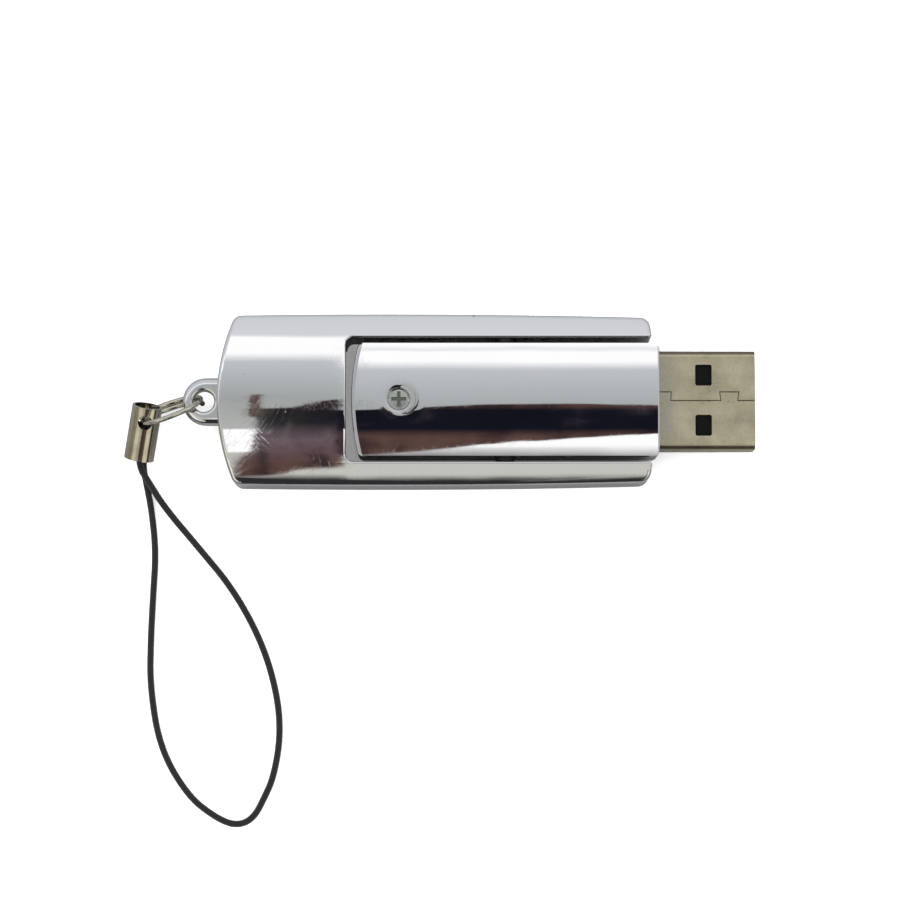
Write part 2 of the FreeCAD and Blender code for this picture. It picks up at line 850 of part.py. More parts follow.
CONTACTS = [(-3.5, "contact_long_tip"), (-1.0, "contact_short_tip"),
            (1.0, "contact_short_tip"), (3.5, "contact_long_tip")]


def contact_strips(name):
    """Four flat spring strips whose tails lie on the board."""
    strips = []
    half = size("contact_wide") * 0.5
    low = board_top()
    for index, (y, tip) in enumerate(CONTACTS):
        strips.append(box(f"{name}_strip_{index}",
                          (size("contact_left"), fixed(y) - half, low),
                          (size(tip), fixed(y) + half, low + size("contact_thick"))))
    return strips


def usb_contacts():
    group = doc.addObject("Part::Compound", "usb_contacts")
    group.Links = contact_strips("usb_contacts")
    return placed(group)


def usb_insulator():
    """The moulding: a block that closes the shell, and the tongue that carries the contacts."""
    half = size("tongue_half_width")
    inner_half_high = size("shell_high") * 0.5 - size("shell_wall") - 0.03
    low = size("pivot_z") - inner_half_high
    high = size("pivot_z") + inner_half_high
    block = box("insulator_block", (size("block_left"), -half, low), (size("block_right"), half, high))
    tongue = box("insulator_tongue", (size("block_left"), -half, board_top()),
                 (size("tongue_tip"), half, high))
    whole = fuse("insulator_whole", block, tongue)

    def lengthwise(edge):
        ends = [vertex.Point for vertex in edge.Vertexes]
        spot = middle(edge)
        corner = abs(spot.y) > plain(half) - 0.01 and \
            (spot.z > plain(high) - 0.01 or spot.z < plain(low) + 0.01)
        return abs(ends[1].x - ends[0].x) > 1 and corner

    softened = rounded("insulator_softened", whole, [(fixed(0.36), lengthwise)])
    slots = fuse("insulator_slots", *contact_strips("insulator"))
    return placed(cut("usb_insulator", softened, slots))


# ---- the strap: split ring, ferrule and cord --------------------------------------------------------

RING_CENTRE = FreeCAD.Vector(-33.27, -1.04, 4.2)
RING_HEADING = 19.8     # degrees, of the ring's level diameter
RING_LEAN = 16.0        # degrees, of the ring's top towards -Y
HOLE_CENTRE = FreeCAD.Vector(-36.49, -2.14, 3.86)
FERRULE_HEADING = 10.5  # degrees from +Y towards +X
FERRULE_RISE = 17.0     # degrees, the mouth above level


def ring_axes():
    """The ring's level diameter, its upward direction, and its axis."""
    heading = math.radians(RING_HEADING)
    lean = math.radians(RING_LEAN)
    level = FreeCAD.Vector(math.cos(heading), math.sin(heading), 0)
    side = FreeCAD.Vector(math.sin(heading), -math.cos(heading), 0)
    upward = side * math.sin(lean) + FreeCAD.Vector(0, 0, math.cos(lean))
    return level, upward, level.cross(upward)


def frame_from(x_axis, z_axis, origin):
    """The placement that takes local X and Z to the given directions."""
    y_axis = z_axis.cross(x_axis)
    matrix = FreeCAD.Matrix(x_axis.x, y_axis.x, z_axis.x, origin.x,
                            x_axis.y, y_axis.y, z_axis.y, origin.y,
                            x_axis.z, y_axis.z, z_axis.z, origin.z,
                            0, 0, 0, 1)
    return FreeCAD.Placement(matrix)


def split_ring():
    """One and a half close turns of round wire, doubled along the ring's lower half."""
    turns = 1.5
    pitch = SIZES["ring_pitch"]
    radius = SIZES["ring_radius"]
    level, _, axis = ring_axes()
    steps = 36
    angles = [2 * math.pi * turns * step / steps for step in range(steps + 1)]
    spots = [
        FreeCAD.Vector(radius * math.cos(angle), radius * math.sin(angle), pitch * angle / (2 * math.pi))
        for angle in angles]
    line = Part.BSplineCurve()
    line.interpolate(spots)
    heading = line.tangent(line.FirstParameter)[0]
    section = Part.Wire(Part.makeCircle(SIZES["ring_wire"], spots[0], heading))
    coil = Part.Wire(line.toShape()).makePipeShell([section], True, False)
    ring = doc.addObject("Part::Feature", "split_ring")
    ring.Shape = coil
    ring.Placement = frame_from(level * -1, axis, RING_CENTRE - axis * (pitch * turns / 2))
    return ring


def ferrule_axes():
    """The ferrule's own axis, up towards its mouth, and its cross-hole, along the ring's wire."""
    heading = math.radians(FERRULE_HEADING)
    rise = math.radians(FERRULE_RISE)
    along = FreeCAD.Vector(math.sin(heading) * math.cos(rise),
                           math.cos(heading) * math.cos(rise), math.sin(rise))
    upward = ring_axes()[1]
    across = upward - along * upward.dot(along)
    across.normalize()
    return along, across


def ferrule_placement():
    along, across = ferrule_axes()
    return frame_from(across, along, HOLE_CENTRE)


def cord_ferrule():
    """A thin tube with a cross-hole; local Z is its axis and local X is the hole."""
    length = size("ferrule_mouth") + size("ferrule_tail")
    tube = cylinder("ferrule_tube", size("ferrule_radius"), length, (0, 0, -size("ferrule_tail")))
    bore = cylinder("ferrule_bore_tool", size("ferrule_bore"), length + 2.0,
                    (0, 0, -size("ferrule_tail") - 1.0))
    hole = cylinder("ferrule_hole_tool", size("ferrule_hole"), 8.0, (-4.0, 0, 0), "X")
    ferrule = cut("cord_ferrule", tube, fuse("ferrule_tools", bore, hole))
    ferrule.Placement = ferrule_placement()
    return ferrule


def cord_anchor():
    """The hardened glue plug that fixes both cord ends in the ferrule."""
    anchor = doc.addObject("Part::Cylinder", "cord_anchor")
    bind(anchor, "Radius", size("ferrule_bore") - 0.01)
    bind(anchor, "Height", size("anchor_end") - size("anchor_start"))
    along, across = ferrule_axes()
    anchor.Placement = frame_from(across, along, HOLE_CENTRE - along * SIZES["anchor_end"])
    return anchor


TAIL_SPOTS = [(-0.62, 0.9), (0.22, 1.07)]    # local X and Y of the two trimmed ends


def cord_tails():
    """The two trimmed cord ends that stand in the ferrule's mouth, beside the ring's wire."""
    group = doc.addObject("Part::Compound", "cord_tails")
    group.Links = [
        cylinder(f"cord_tail_{index}", size("cord_radius"), size("anchor_start") + 1.7 - 0.15 * index,
                 (fixed(x), fixed(y), -size("anchor_start")))
        for index, (x, y) in enumerate(TAIL_SPOTS)]
    group.Placement = ferrule_placement()
    return group


# The cord's route in the row frame. Both ends leave the ferrule's tail side by side, the upper one
# crosses over the lower one, and the loop then lies on the table. The first and last two points are
# worked out from the ferrule, along its axis.
CORD_REST = [
    (-36.5, -9.75, 0.95),
    (-35.85, -13.2, 0.4),
    (-35.35, -18.1, 0.4),
    (-35.65, -23.4, 0.4),
    (-35.9, -28.8, 0.4),
    (-35.95, -34.4, 0.4),
    (-34.7, -41.9, 0.4),
    (-31.3, -47.65, 0.4),
    (-27.95, -50.25, 0.4),
    (-25.4, -51.3, 0.4),
    (-23.3, -50.45, 0.4),
    (-21.85, -47.65, 0.4),
    (-20.85, -45.3, 0.4),
    (-20.05, -40.6, 0.4),
    (-20.4, -35.6, 0.4),
    (-22.25, -29.2, 0.4),
    (-25.85, -22.6, 0.4),
    (-30.3, -17.3, 0.4),
    (-34.3, -12.6, 0.4),
    (-36.1, -9.7, 2.1),
]
CORD_SPREAD = (0.3, 0.3)        # half the distance between the strands, across and up, at the ferrule
CORD_SHIFT = 0.24               # both strands stand this far off the ferrule's axis, towards +X
CORD_LEAVES = 5.5               # distance from the cross-hole to the first and last free points


def cord_route():
    """All route points, from one end of the cord in the ferrule to the other."""
    along, across = ferrule_axes()
    sideways = along.cross(across)
    spread = sideways * CORD_SPREAD[0] - across * CORD_SPREAD[1]
    ends = []
    for offset in (spread, spread * -1):
        shifted = offset + sideways * CORD_SHIFT
        ends.append([HOLE_CENTRE - along * reach + shifted for reach in (SIZES["anchor_end"], CORD_LEAVES)])
    rest = [FreeCAD.Vector(*spot) for spot in CORD_REST]
    return ends[0] + rest + ends[1][::-1]


def arc_path(route):
    """Straight runs joined by tangent arcs as large as the runs allow."""
    edges = []
    radii = []
    start = route[0]
    for before, corner, after in zip(route, route[1:], route[2:]):
        back = (before - corner).normalize()
        onward = (after - corner).normalize()
        half_turn = (math.pi - back.getAngle(onward)) / 2
        reach = 0.45 * min((before - corner).Length, (after - corner).Length)
        radius = reach / math.tan(half_turn)
        radii.append(radius)
        bisector = (back + onward).normalize()
        centre = corner + bisector * (radius / math.cos(half_turn))
        arc_start = corner + back * reach
        arc_middle = centre - bisector * radius
        arc_end = corner + onward * reach
        edges.append(Part.LineSegment(start, arc_start).toShape())
        edges.append(Part.Arc(arc_start, arc_middle, arc_end).toShape())
        start = arc_end
    edges.append(Part.LineSegment(start, route[-1]).toShape())
    return Part.Wire(edges), radii


def cord_loop():
    route = cord_route()
    path, radii = arc_path(route)
    radius = SIZES["cord_radius"]
    section = Part.Wire(Part.makeCircle(radius, route[0], route[1] - route[0]))
    tube = path.makePipeShell([section], True, False)
    expected = math.pi * radius * radius * path.Length
    print(f"cord: length {path.Length:.1f}, volume {tube.Volume / expected:.4f} of section x length,",
          "radii", " ".join(f"{value:.2f}" for value in radii))
    if abs(tube.Volume / expected - 1) > 0.01:
        raise ValueError("the cord's volume is not its section times its length")
    cord = doc.addObject("Part::Feature", "cord_loop")
    cord.Shape = tube
    return cord


# ---- build, check and write -------------------------------------------------------------------------

BUILDERS = [
    outer_frame, drive_body, drive_cover, cover_screw, pivot_pins, pivot_washers,
    circuit_board, board_cradle, flash_chip, controller_chip, controller_leads, crystal,
    capacitors, resistors, insulating_film, usb_shell, usb_insulator, usb_contacts,
    split_ring, cord_ferrule, cord_anchor, cord_tails, cord_loop,
]

pieces = []
for builder in BUILDERS:
    piece = builder()
    piece.Label = builder.__name__
    pieces.append(piece)

doc.recompute()

for item in doc.Objects:
    if "Invalid" in item.State or "Error" in item.State:
        raise ValueError(f"{item.Name} did not compute: {item.State}")

for piece in pieces:
    shape = piece.Shape
    if shape.isNull() or not shape.isValid() or not shape.Solids:
        raise ValueError(f"{piece.Label} has no valid solid")
    shape.exportStep(f"parts/{piece.Label}.step")
    bounds = shape.BoundBox
    print(f"{piece.Label:18s} solids {len(shape.Solids):3d}  volume {shape.Volume:9.2f}  "
          f"x {bounds.XMin:7.2f} {bounds.XMax:7.2f}  y {bounds.YMin:7.2f} {bounds.YMax:7.2f}  "
          f"z {bounds.ZMin:6.2f} {bounds.ZMax:6.2f}")
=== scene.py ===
import math

import bpy
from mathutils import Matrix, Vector


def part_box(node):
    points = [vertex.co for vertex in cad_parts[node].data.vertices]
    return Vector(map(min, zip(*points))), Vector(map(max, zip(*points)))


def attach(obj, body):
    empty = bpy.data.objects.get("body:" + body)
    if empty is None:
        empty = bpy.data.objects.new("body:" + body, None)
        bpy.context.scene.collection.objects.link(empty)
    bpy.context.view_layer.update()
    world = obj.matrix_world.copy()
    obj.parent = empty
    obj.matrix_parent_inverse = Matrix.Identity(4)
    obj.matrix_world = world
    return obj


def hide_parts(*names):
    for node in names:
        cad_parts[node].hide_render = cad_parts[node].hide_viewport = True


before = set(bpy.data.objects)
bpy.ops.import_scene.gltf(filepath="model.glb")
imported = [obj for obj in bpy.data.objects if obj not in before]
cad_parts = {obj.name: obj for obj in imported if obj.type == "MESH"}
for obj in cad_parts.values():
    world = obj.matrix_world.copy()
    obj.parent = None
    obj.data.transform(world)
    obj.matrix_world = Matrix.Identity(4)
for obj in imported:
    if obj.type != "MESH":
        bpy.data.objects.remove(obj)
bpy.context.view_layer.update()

MM = 0.001
scene = bpy.context.scene
scene.view_settings.view_transform = "Standard"
scene.view_settings.look = "None"


# ---- camera ------------------------------------------------------------------------------------------

AIM = Vector((0.57, -6.12, 7.5)) * MM
DISTANCE = 445 * MM
TILT = math.radians(4.87)       # from straight down, towards the cord's side
VIEW_WIDTH = 108.43 * MM        # what the frame shows across, at the aim point

camera_data = bpy.data.cameras.new("camera")
camera_data.sensor_width = 36
camera_data.lens = 36 * DISTANCE / VIEW_WIDTH
camera_data.clip_start = 0.01
camera_data.clip_end = 10
camera = bpy.data.objects.new("camera", camera_data)
camera.location = AIM + Vector((0, -math.sin(TILT), math.cos(TILT))) * DISTANCE
camera.rotation_euler = (TILT, 0, 0)
scene.collection.objects.link(camera)
scene.camera = camera


# ---- node helpers --------------------------------------------------------------------------------------

def linear(value):
    """A display value from 0 to 255 as linear light."""
    v = value / 255
    return v / 12.92 if v <= 0.04045 else ((v + 0.055) / 1.055) ** 2.4


def colour(red, green, blue, gain=1.0):
    return (linear(red) * gain, linear(green) * gain, linear(blue) * gain, 1.0)


class Nodes:
    """Short ways to add nodes to one tree. A value is a number, a colour or another node's output."""

    def __init__(self, tree):
        self.tree = tree

    def add(self, kind, **settings):
        made = self.tree.nodes.new(kind)
        for key, value in settings.items():
            setattr(made, key, value)
        return made

    def feed(self, socket, value):
        if isinstance(value, bpy.types.NodeSocket):
            self.tree.links.new(value, socket)
        else:
            socket.default_value = value

    def math(self, operation, first, second=0.0, third=0.0):
        made = self.add("ShaderNodeMath", operation=operation)
        for socket, value in zip(made.inputs, (first, second, third)):
            self.feed(socket, value)
        return made.outputs[0]

    def spread(self, value, low, high, out_low=0.0, out_high=1.0, smooth=False):
        """Map low..high to out_low..out_high, clamped."""
        made = self.add("ShaderNodeMapRange")
        if smooth:
            made.interpolation_type = "SMOOTHSTEP"
        for name, number in (("Value", value), ("From Min", low), ("From Max", high),
                             ("To Min", out_low), ("To Max", out_high)):
            self.feed(made.inputs[name], number)
        return made.outputs[0]

    def mix(self, amount, first, second, blend="MIX"):
        made = self.add("ShaderNodeMix", data_type="RGBA", blend_type=blend)
        for index, value in ((0, amount), (6, first), (7, second)):
            self.feed(made.inputs[index], value)
        return made.outputs[2]

    def ramp(self, value, stops):
        """Blend from each colour to the next along value, at positions from 0 to 1."""
        made = self.add("ShaderNodeValToRGB")
        elements = made.color_ramp.elements
        while len(elements) > 1:
            elements.remove(elements[0])
        elements[0].position, elements[0].color = stops[0]
        for position, shade in stops[1:]:
            elements.new(position).color = shade
        self.feed(made.inputs[0], value)
        return made.outputs[0]

    def bend(self, value, points, low, high):
        """A smooth curve through points (x from low to high), as a number."""
        tops = [y for _, y in points]
        bottom, top = min(tops) - 1, max(tops) + 1
        made = self.add("ShaderNodeFloatCurve")
        curve = made.mapping.curves[0]
        places = [((x - low) / (high - low), (y - bottom) / (top - bottom)) for x, y in points]
        curve.points[0].location = places[0]
        curve.points[-1].location = places[-1]
        for place in places[1:-1]:
            curve.points.new(*place)
        made.mapping.update()
        self.feed(made.inputs["Value"], self.spread(value, low, high))
        return self.spread(made.outputs[0], 0.0, 1.0, bottom, top)

    def noise(self, vector, scale, detail=3.0, rough=0.5, distortion=0.0):
        made = self.add("ShaderNodeTexNoise")
        self.feed(made.inputs["Vector"], vector)
        made.inputs["Scale"].default_value = scale
        made.inputs["Detail"].default_value = detail
        made.inputs["Roughness"].default_value = rough
        made.inputs["Distortion"].default_value = distortion
        return made.outputs[0]

    def stretched(self, vector, scale, turn=0.0, shift=(0, 0, 0)):
        """Turn about Z first, then scale and shift, so that a pattern can be drawn out along any heading."""
        turned = self.add("ShaderNodeMapping")
        turned.inputs["Rotation"].default_value = (0, 0, turn)
        self.feed(turned.inputs["Vector"], vector)
        made = self.add("ShaderNodeMapping")
        made.inputs["Scale"].default_value = scale
        made.inputs["Location"].default_value = shift
        self.feed(made.inputs["Vector"], turned.outputs[0])
        return made.outputs[0]

    def distance(self, vector, centre):
        """How far the point is from the centre as seen from above, in metres."""
        gap = self.add("ShaderNodeVectorMath", operation="SUBTRACT")
        self.feed(gap.inputs[0], vector)
        gap.inputs[1].default_value = centre
        level = self.add("ShaderNodeVectorMath", operation="MULTIPLY")
        self.feed(level.inputs[0], gap.outputs[0])
        level.inputs[1].default_value = (1, 1, 0)
        made = self.add("ShaderNodeVectorMath", operation="LENGTH")
        self.feed(made.inputs[0], level.outputs[0])
        return made.outputs["Value"]

    def height(self, vector):
        made = self.add("ShaderNodeSeparateXYZ")
        self.feed(made.inputs[0], vector)
        return made.outputs["Z"]

    def bump(self, height, strength, distance, normal=None):
        made = self.add("ShaderNodeBump")
        made.inputs["Strength"].default_value = strength
        made.inputs["Distance"].default_value = distance
        self.feed(made.inputs["Height"], height)
        if normal is not None:
            self.feed(made.inputs["Normal"], normal)
        return made.outputs[0]


def new_material(name):
    """A new material, its node helper, its shader and the point on the object in metres."""
    material = bpy.data.materials.new(name)
    material.use_nodes = True
    tree = material.node_tree
    kit = Nodes(tree)
    shader = tree.nodes["Principled BSDF"]
    spot = kit.add("ShaderNodeTexCoord").outputs["Object"]
    return material, kit, shader, spot


def dress(material, *names):
    """Give the named CAD nodes the material in place of their own."""
    for name in names:
        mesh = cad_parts[name].data
        mesh.materials.clear()
        mesh.materials.append(material)


# ---- materials -----------------------------------------------------------------------------------------
# Scales of noise and cells are per metre.

def scratches(kit, spot, scale, turns):
    """Fine crossing hairlines, 1 on a line and 0 between, coming and going in patches."""
    total = None
    wander = kit.noise(spot, 70.0, 1.0)
    for index, turn in enumerate(turns):
        bent = kit.add("ShaderNodeVectorMath", operation="MULTIPLY_ADD")
        kit.feed(bent.inputs[0], wander)
        bent.inputs[1].default_value = (0.006, 0.006, 0.006)
        kit.feed(bent.inputs[2], spot)
        laid = kit.stretched(bent.outputs[0], (scale, scale * 0.045, scale * 0.3), turn,
                             (index * 3.1, index * 1.7, 0))
        line = kit.spread(kit.noise(laid, 1.0, 1.0, 0.5), 0.62, 0.74)
        place = kit.stretched(spot, (1, 1, 1), 0.0, (index * 0.01, 0.02, 0.05))
        patch = kit.spread(kit.noise(place, 150.0, 2.0), 0.40, 0.66)
        line = kit.math("MULTIPLY", line, patch)
        total = line if total is None else kit.math("MAXIMUM", total, line)
    return total


def pits(kit, spot):
    """Pinholes in the plating, a few together here and there: 1 in a pit."""
    cells = kit.add("ShaderNodeTexVoronoi", feature="F1")
    cells.inputs["Scale"].default_value = 700.0
    kit.feed(cells.inputs["Vector"], spot)
    hole = kit.spread(cells.outputs["Distance"], 0.11, 0.05)
    patch = kit.spread(kit.noise(spot, 110.0, 2.0), 0.60, 0.66)
    return kit.math("MULTIPLY", hole, patch)


def chrome(name, tint, rough, marks, turns, scale=10500.0, ripple=0.000012, pitted=False, dimple=False):
    """Polished plating: a mirror with hairlines, a little haze and slow waves in its surface."""
    material, kit, shader, spot = new_material(name)
    lines = scratches(kit, spot, scale, turns)
    haze = kit.noise(spot, 220.0, 4.0, 0.6)
    shader.inputs["Metallic"].default_value = 1.0
    wear = kit.spread(haze, 0.35, 0.75, rough, rough + 0.012)
    kit.feed(shader.inputs["Roughness"], kit.math("MULTIPLY_ADD", lines, marks, wear))
    dull = kit.spread(haze, 0.3, 0.7, 1.0, 0.95)
    tone = kit.mix(dull, HAZE, tint)
    waves = kit.noise(spot, 120.0, 1.0)
    height = kit.math("MULTIPLY_ADD", lines, 0.013, waves)
    if pitted:
        holes = pits(kit, spot)
        tone = kit.mix(kit.math("MULTIPLY", holes, 0.8), tone, PIT)
        height = kit.math("MULTIPLY_ADD", holes, -0.3, height)
    kit.feed(shader.inputs["Base Color"], tone)
    normal = kit.bump(height, 1.0, ripple)
    if dimple:
        away = kit.distance(spot, SCREW)
        slope = kit.bend(away, DIMPLE, 0.0, DIMPLE[-1][0])
        normal = kit.bump(slope, 1.0, MM, normal)
    kit.feed(shader.inputs["Normal"], normal)
    return material


screw_low, screw_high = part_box("cover_screw")
SCREW = (screw_low + screw_high) / 2

# The lid is drawn down round its screw: distance from the screw in metres and depth in millimetres.
DIMPLE = [(0.0, -0.062), (0.0013, -0.059), (0.0017, -0.021), (0.0019, -0.013), (0.0022, -0.0065),
          (0.0027, -0.0015), (0.0034, 0.0)]

POLISHED = colour(231, 231, 232)
HAZE = colour(205, 205, 208)
PIT = colour(70, 64, 60)
frame_chrome = chrome("frame_chrome", POLISHED, 0.014, 0.024, (0.5, -0.45, 1.0, 2.3), pitted=True)
cover_chrome = chrome("cover_chrome", POLISHED, 0.014, 0.028, (0.7, -0.35, 1.25, 2.6), dimple=True)
body_chrome = chrome("body_chrome", colour(228, 228, 230), 0.05, 0.1, (0.2, 1.2))
wire_chrome = chrome("wire_chrome", colour(206, 202, 188), 0.07, 0.1, (0.4, 1.9),
                     scale=9000.0, ripple=0.00001)
dress(frame_chrome, "outer_frame")
dress(cover_chrome, "drive_cover")
dress(body_chrome, "drive_body")
dress(wire_chrome, "split_ring")


def screw_metal():
    """Plated screw: bright rim, and painted shade, darker and greener, down in the cross-shaped hollow of
    the head.
    """
    material, kit, shader, spot = new_material("screw_metal")
    shader.inputs["Metallic"].default_value = 1.0
    grain = kit.noise(spot, 3200.0, 3.0, 0.6)
    # Painted shade: darker and greener with depth below the head's top, in the cross-shaped hollow.
    cross_shade = kit.spread(kit.height(spot), screw_high.z - 0.052 * MM, screw_high.z - 0.192 * MM)
    tone = kit.mix(cross_shade, colour(218, 218, 214), colour(128, 136, 122))
    kit.feed(shader.inputs["Base Color"], kit.mix(kit.spread(grain, 0.4, 0.7, 0.0, 0.35), tone,
                                                  colour(120, 120, 112)))
    kit.feed(shader.inputs["Roughness"], kit.spread(grain, 0.3, 0.7, 0.10, 0.24))
    kit.feed(shader.inputs["Normal"], kit.bump(grain, 0.5, 0.000008))
    return material


dress(screw_metal(), "cover_screw")


PLUG_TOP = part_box("usb_shell")[1].z
UNIT_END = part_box("drive_cover")[1].x
RUST_Y = -0.4 * MM              # the rusty strip's middle, just on the cord's side of the seam


def plug_nickel():
    """Satin nickel plate on rolled sheet: grain along the plug, clouding, rust specks beside the seam, and
    painted shade in the seam's cut and the windows' side walls.
    """
    material, kit, shader, spot = new_material("plug_nickel")
    shader.inputs["Metallic"].default_value = 1.0
    grain = kit.noise(kit.stretched(spot, (500.0, 9000.0, 9000.0)), 1.0, 3.0, 0.6)
    cloud = kit.noise(spot, 300.0, 3.0, 0.55)
    fine = kit.noise(spot, 4200.0, 3.0, 0.7)
    tone = kit.ramp(cloud, [(0.3, colour(204, 195, 166)), (0.5, colour(216, 206, 175)),
                            (0.7, colour(228, 220, 192))])
    place = kit.add("ShaderNodeSeparateXYZ")
    kit.feed(place.inputs[0], spot)
    x, y, z = place.outputs
    # Patchy bluish grey on the plug next to the unit's end, fading out about 3.4 mm along it.
    bluish_near_unit = kit.math("MULTIPLY", kit.spread(x, UNIT_END + 3.38 * MM, UNIT_END + 0.58 * MM, smooth=True),
                     kit.spread(cloud, 0.36, 0.56))
    tone = kit.mix(kit.math("MULTIPLY", bluish_near_unit, 0.5), tone, colour(158, 162, 172))
    # Painted shade: from just under the plug's top down to about 0.4 mm it turns dark brown, in the seam's
    # cut and on the windows' side walls.
    groove_shade = kit.math("MULTIPLY", kit.spread(z, PLUG_TOP + 0.01 * MM, PLUG_TOP - 0.05 * MM),
                      kit.spread(z, PLUG_TOP - 0.45 * MM, PLUG_TOP - 0.35 * MM))
    tone = kit.mix(kit.math("MULTIPLY", groove_shade, 0.75), tone, colour(58, 50, 40))
    aside = kit.math("ABSOLUTE", kit.math("SUBTRACT", y, RUST_Y))
    beside = kit.spread(aside, 0.9 * MM, 0.1 * MM, smooth=True)
    rust = kit.math("MULTIPLY", kit.spread(fine, 0.58, 0.66), beside)
    tone = kit.mix(kit.math("MULTIPLY", rust, 0.7), tone, colour(104, 74, 52))
    kit.feed(shader.inputs["Base Color"], kit.mix(kit.spread(fine, 0.3, 0.6, 0.3, 0.0), tone,
                                                  colour(150, 143, 125)))
    kit.feed(shader.inputs["Roughness"],
             kit.math("MULTIPLY_ADD", grain, 0.14, kit.spread(cloud, 0.3, 0.7, 0.20, 0.29)))
    height = kit.math("MULTIPLY_ADD", grain, 0.5, fine)
    rounding = kit.add("ShaderNodeBevel", samples=4)
    rounding.inputs["Radius"].default_value = 0.09 * MM
    kit.feed(shader.inputs["Normal"], kit.bump(height, 0.5, 0.000008, rounding.outputs[0]))
    return material


def plastic(name, shade, rough, gloss=0.5):
    """Moulded plastic, resin or film with a fine grain."""
    material, kit, shader, spot = new_material(name)
    shader.inputs["Specular IOR Level"].default_value = gloss
    grain = kit.noise(spot, 2600.0, 3.0, 0.6)
    kit.feed(shader.inputs["Base Color"], kit.mix(kit.spread(grain, 0.3, 0.7), shade,
                                                  tuple(v * 1.5 for v in shade[:3]) + (1.0,)))
    kit.feed(shader.inputs["Roughness"], kit.spread(grain, 0.3, 0.7, rough, rough + 0.15))
    kit.feed(shader.inputs["Normal"], kit.bump(grain, 0.5, 0.00001))
    return material


def satin_metal(name, shade, rough):
    """Plain metal with a fine grain along the drive."""
    material, kit, shader, spot = new_material(name)
    shader.inputs["Metallic"].default_value = 1.0
    grain = kit.noise(kit.stretched(spot, (1500.0, 6000.0, 6000.0)), 1.0, 3.0)
    kit.feed(shader.inputs["Base Color"], kit.mix(kit.spread(grain, 0.35, 0.65), shade,
                                                  tuple(v * 0.85 for v in shade[:3]) + (1.0,)))
    kit.feed(shader.inputs["Roughness"], kit.spread(grain, 0.3, 0.7, rough, rough + 0.15))
    kit.feed(shader.inputs["Normal"], kit.bump(grain, 0.4, 0.000006))
    return material


dress(plug_nickel(), "usb_shell")
dress(plastic("black_moulding", colour(4, 5, 5), 0.45, gloss=0.12), "usb_insulator", "board_cradle")
# The washers' dark grey is black nylon and also painted shade: it keeps them as dark as the deep gaps
# between the rails and the drive.
dress(plastic("washer_plastic_and_shade", colour(44, 44, 46), 0.4, gloss=0.3), "pivot_washers")
dress(plastic("chip_epoxy", colour(34, 34, 36), 0.45), "flash_chip", "controller_chip", "resistors")
dress(plastic("solder_mask", colour(18, 78, 44), 0.25), "circuit_board")
dress(plastic("capacitor_body", colour(150, 122, 92), 0.4), "capacitors")
dress(plastic("amber_film", colour(150, 98, 24), 0.2), "insulating_film")
dress(plastic("glue", colour(38, 34, 30), 0.3), "cord_anchor")
dress(satin_metal("tin", colour(205, 205, 200), 0.3), "controller_leads", "crystal")
dress(satin_metal("machined_steel", colour(190, 190, 188), 0.25), "pivot_pins")
dress(satin_metal("gold_plate", colour(232, 196, 110), 0.22), "usb_contacts")


def ferrule_metal():
    """Thin nickel plate over brass, with a little of the brass's warmth and fine draw lines."""
    material, kit, shader, spot = new_material("ferrule_metal")
    shader.inputs["Metallic"].default_value = 1.0
    cloud = kit.noise(spot, 420.0, 4.0, 0.6)
    draw = kit.noise(kit.stretched(spot, (9000.0, 700.0, 9000.0)), 1.0, 2.0)
    tone = kit.ramp(cloud, [(0.3, colour(172, 165, 146)), (0.6, colour(194, 188, 172)),
                            (0.8, colour(212, 208, 196))])
    kit.feed(shader.inputs["Base Color"], tone)
    kit.feed(shader.inputs["Roughness"], kit.math("MULTIPLY_ADD", draw, 0.1, 0.08))
    kit.feed(shader.inputs["Normal"], kit.bump(draw, 0.3, 0.000005))
    return material


dress(ferrule_metal(), "cord_ferrule")


# ---- cord ----------------------------------------------------------------------------------------------

# The same route as the CAD tube, in metres, from one end inside the ferrule round to the other.
CORD_ROUTE = [
    (-0.03656, -0.00523, 0.00254), (-0.03694, -0.00729, 0.00190), (-0.03650, -0.00975, 0.00095),
    (-0.03585, -0.01320, 0.00040), (-0.03535, -0.01810, 0.00040), (-0.03565, -0.02340, 0.00040),
    (-0.03590, -0.02880, 0.00040), (-0.03595, -0.03440, 0.00040), (-0.03470, -0.04190, 0.00040),
    (-0.03130, -0.04765, 0.00040), (-0.02795, -0.05025, 0.00040), (-0.02540, -0.05130, 0.00040),
    (-0.02330, -0.05045, 0.00040), (-0.02185, -0.04765, 0.00040), (-0.02085, -0.04530, 0.00040),
    (-0.02005, -0.04060, 0.00040), (-0.02040, -0.03560, 0.00040), (-0.02225, -0.02920, 0.00040),
    (-0.02585, -0.02260, 0.00040), (-0.03030, -0.01730, 0.00040), (-0.03430, -0.01260, 0.00040),
    (-0.03610, -0.00970, 0.00210), (-0.03748, -0.00740, 0.00254), (-0.03710, -0.00533, 0.00319)]
CORD_DIAMETER = 0.8 * MM
CORD_STEPS = 24                 # along the curve, between two points of the route

cord_curve = bpy.data.curves.new("cord", "CURVE")
cord_curve.dimensions = "3D"
cord_curve.resolution_u = CORD_STEPS
cord_curve.bevel_depth = CORD_DIAMETER / 2
cord_curve.bevel_resolution = 8
spline = cord_curve.splines.new("NURBS")
spline.points.add(len(CORD_ROUTE) - 1)
for point, place in zip(spline.points, CORD_ROUTE):
    point.co = (*place, 1.0)
spline.order_u = 3
spline.use_endpoint_u = True
spline.resolution_u = CORD_STEPS
cord = bpy.data.objects.new("cord", cord_curve)
scene.collection.objects.link(cord)


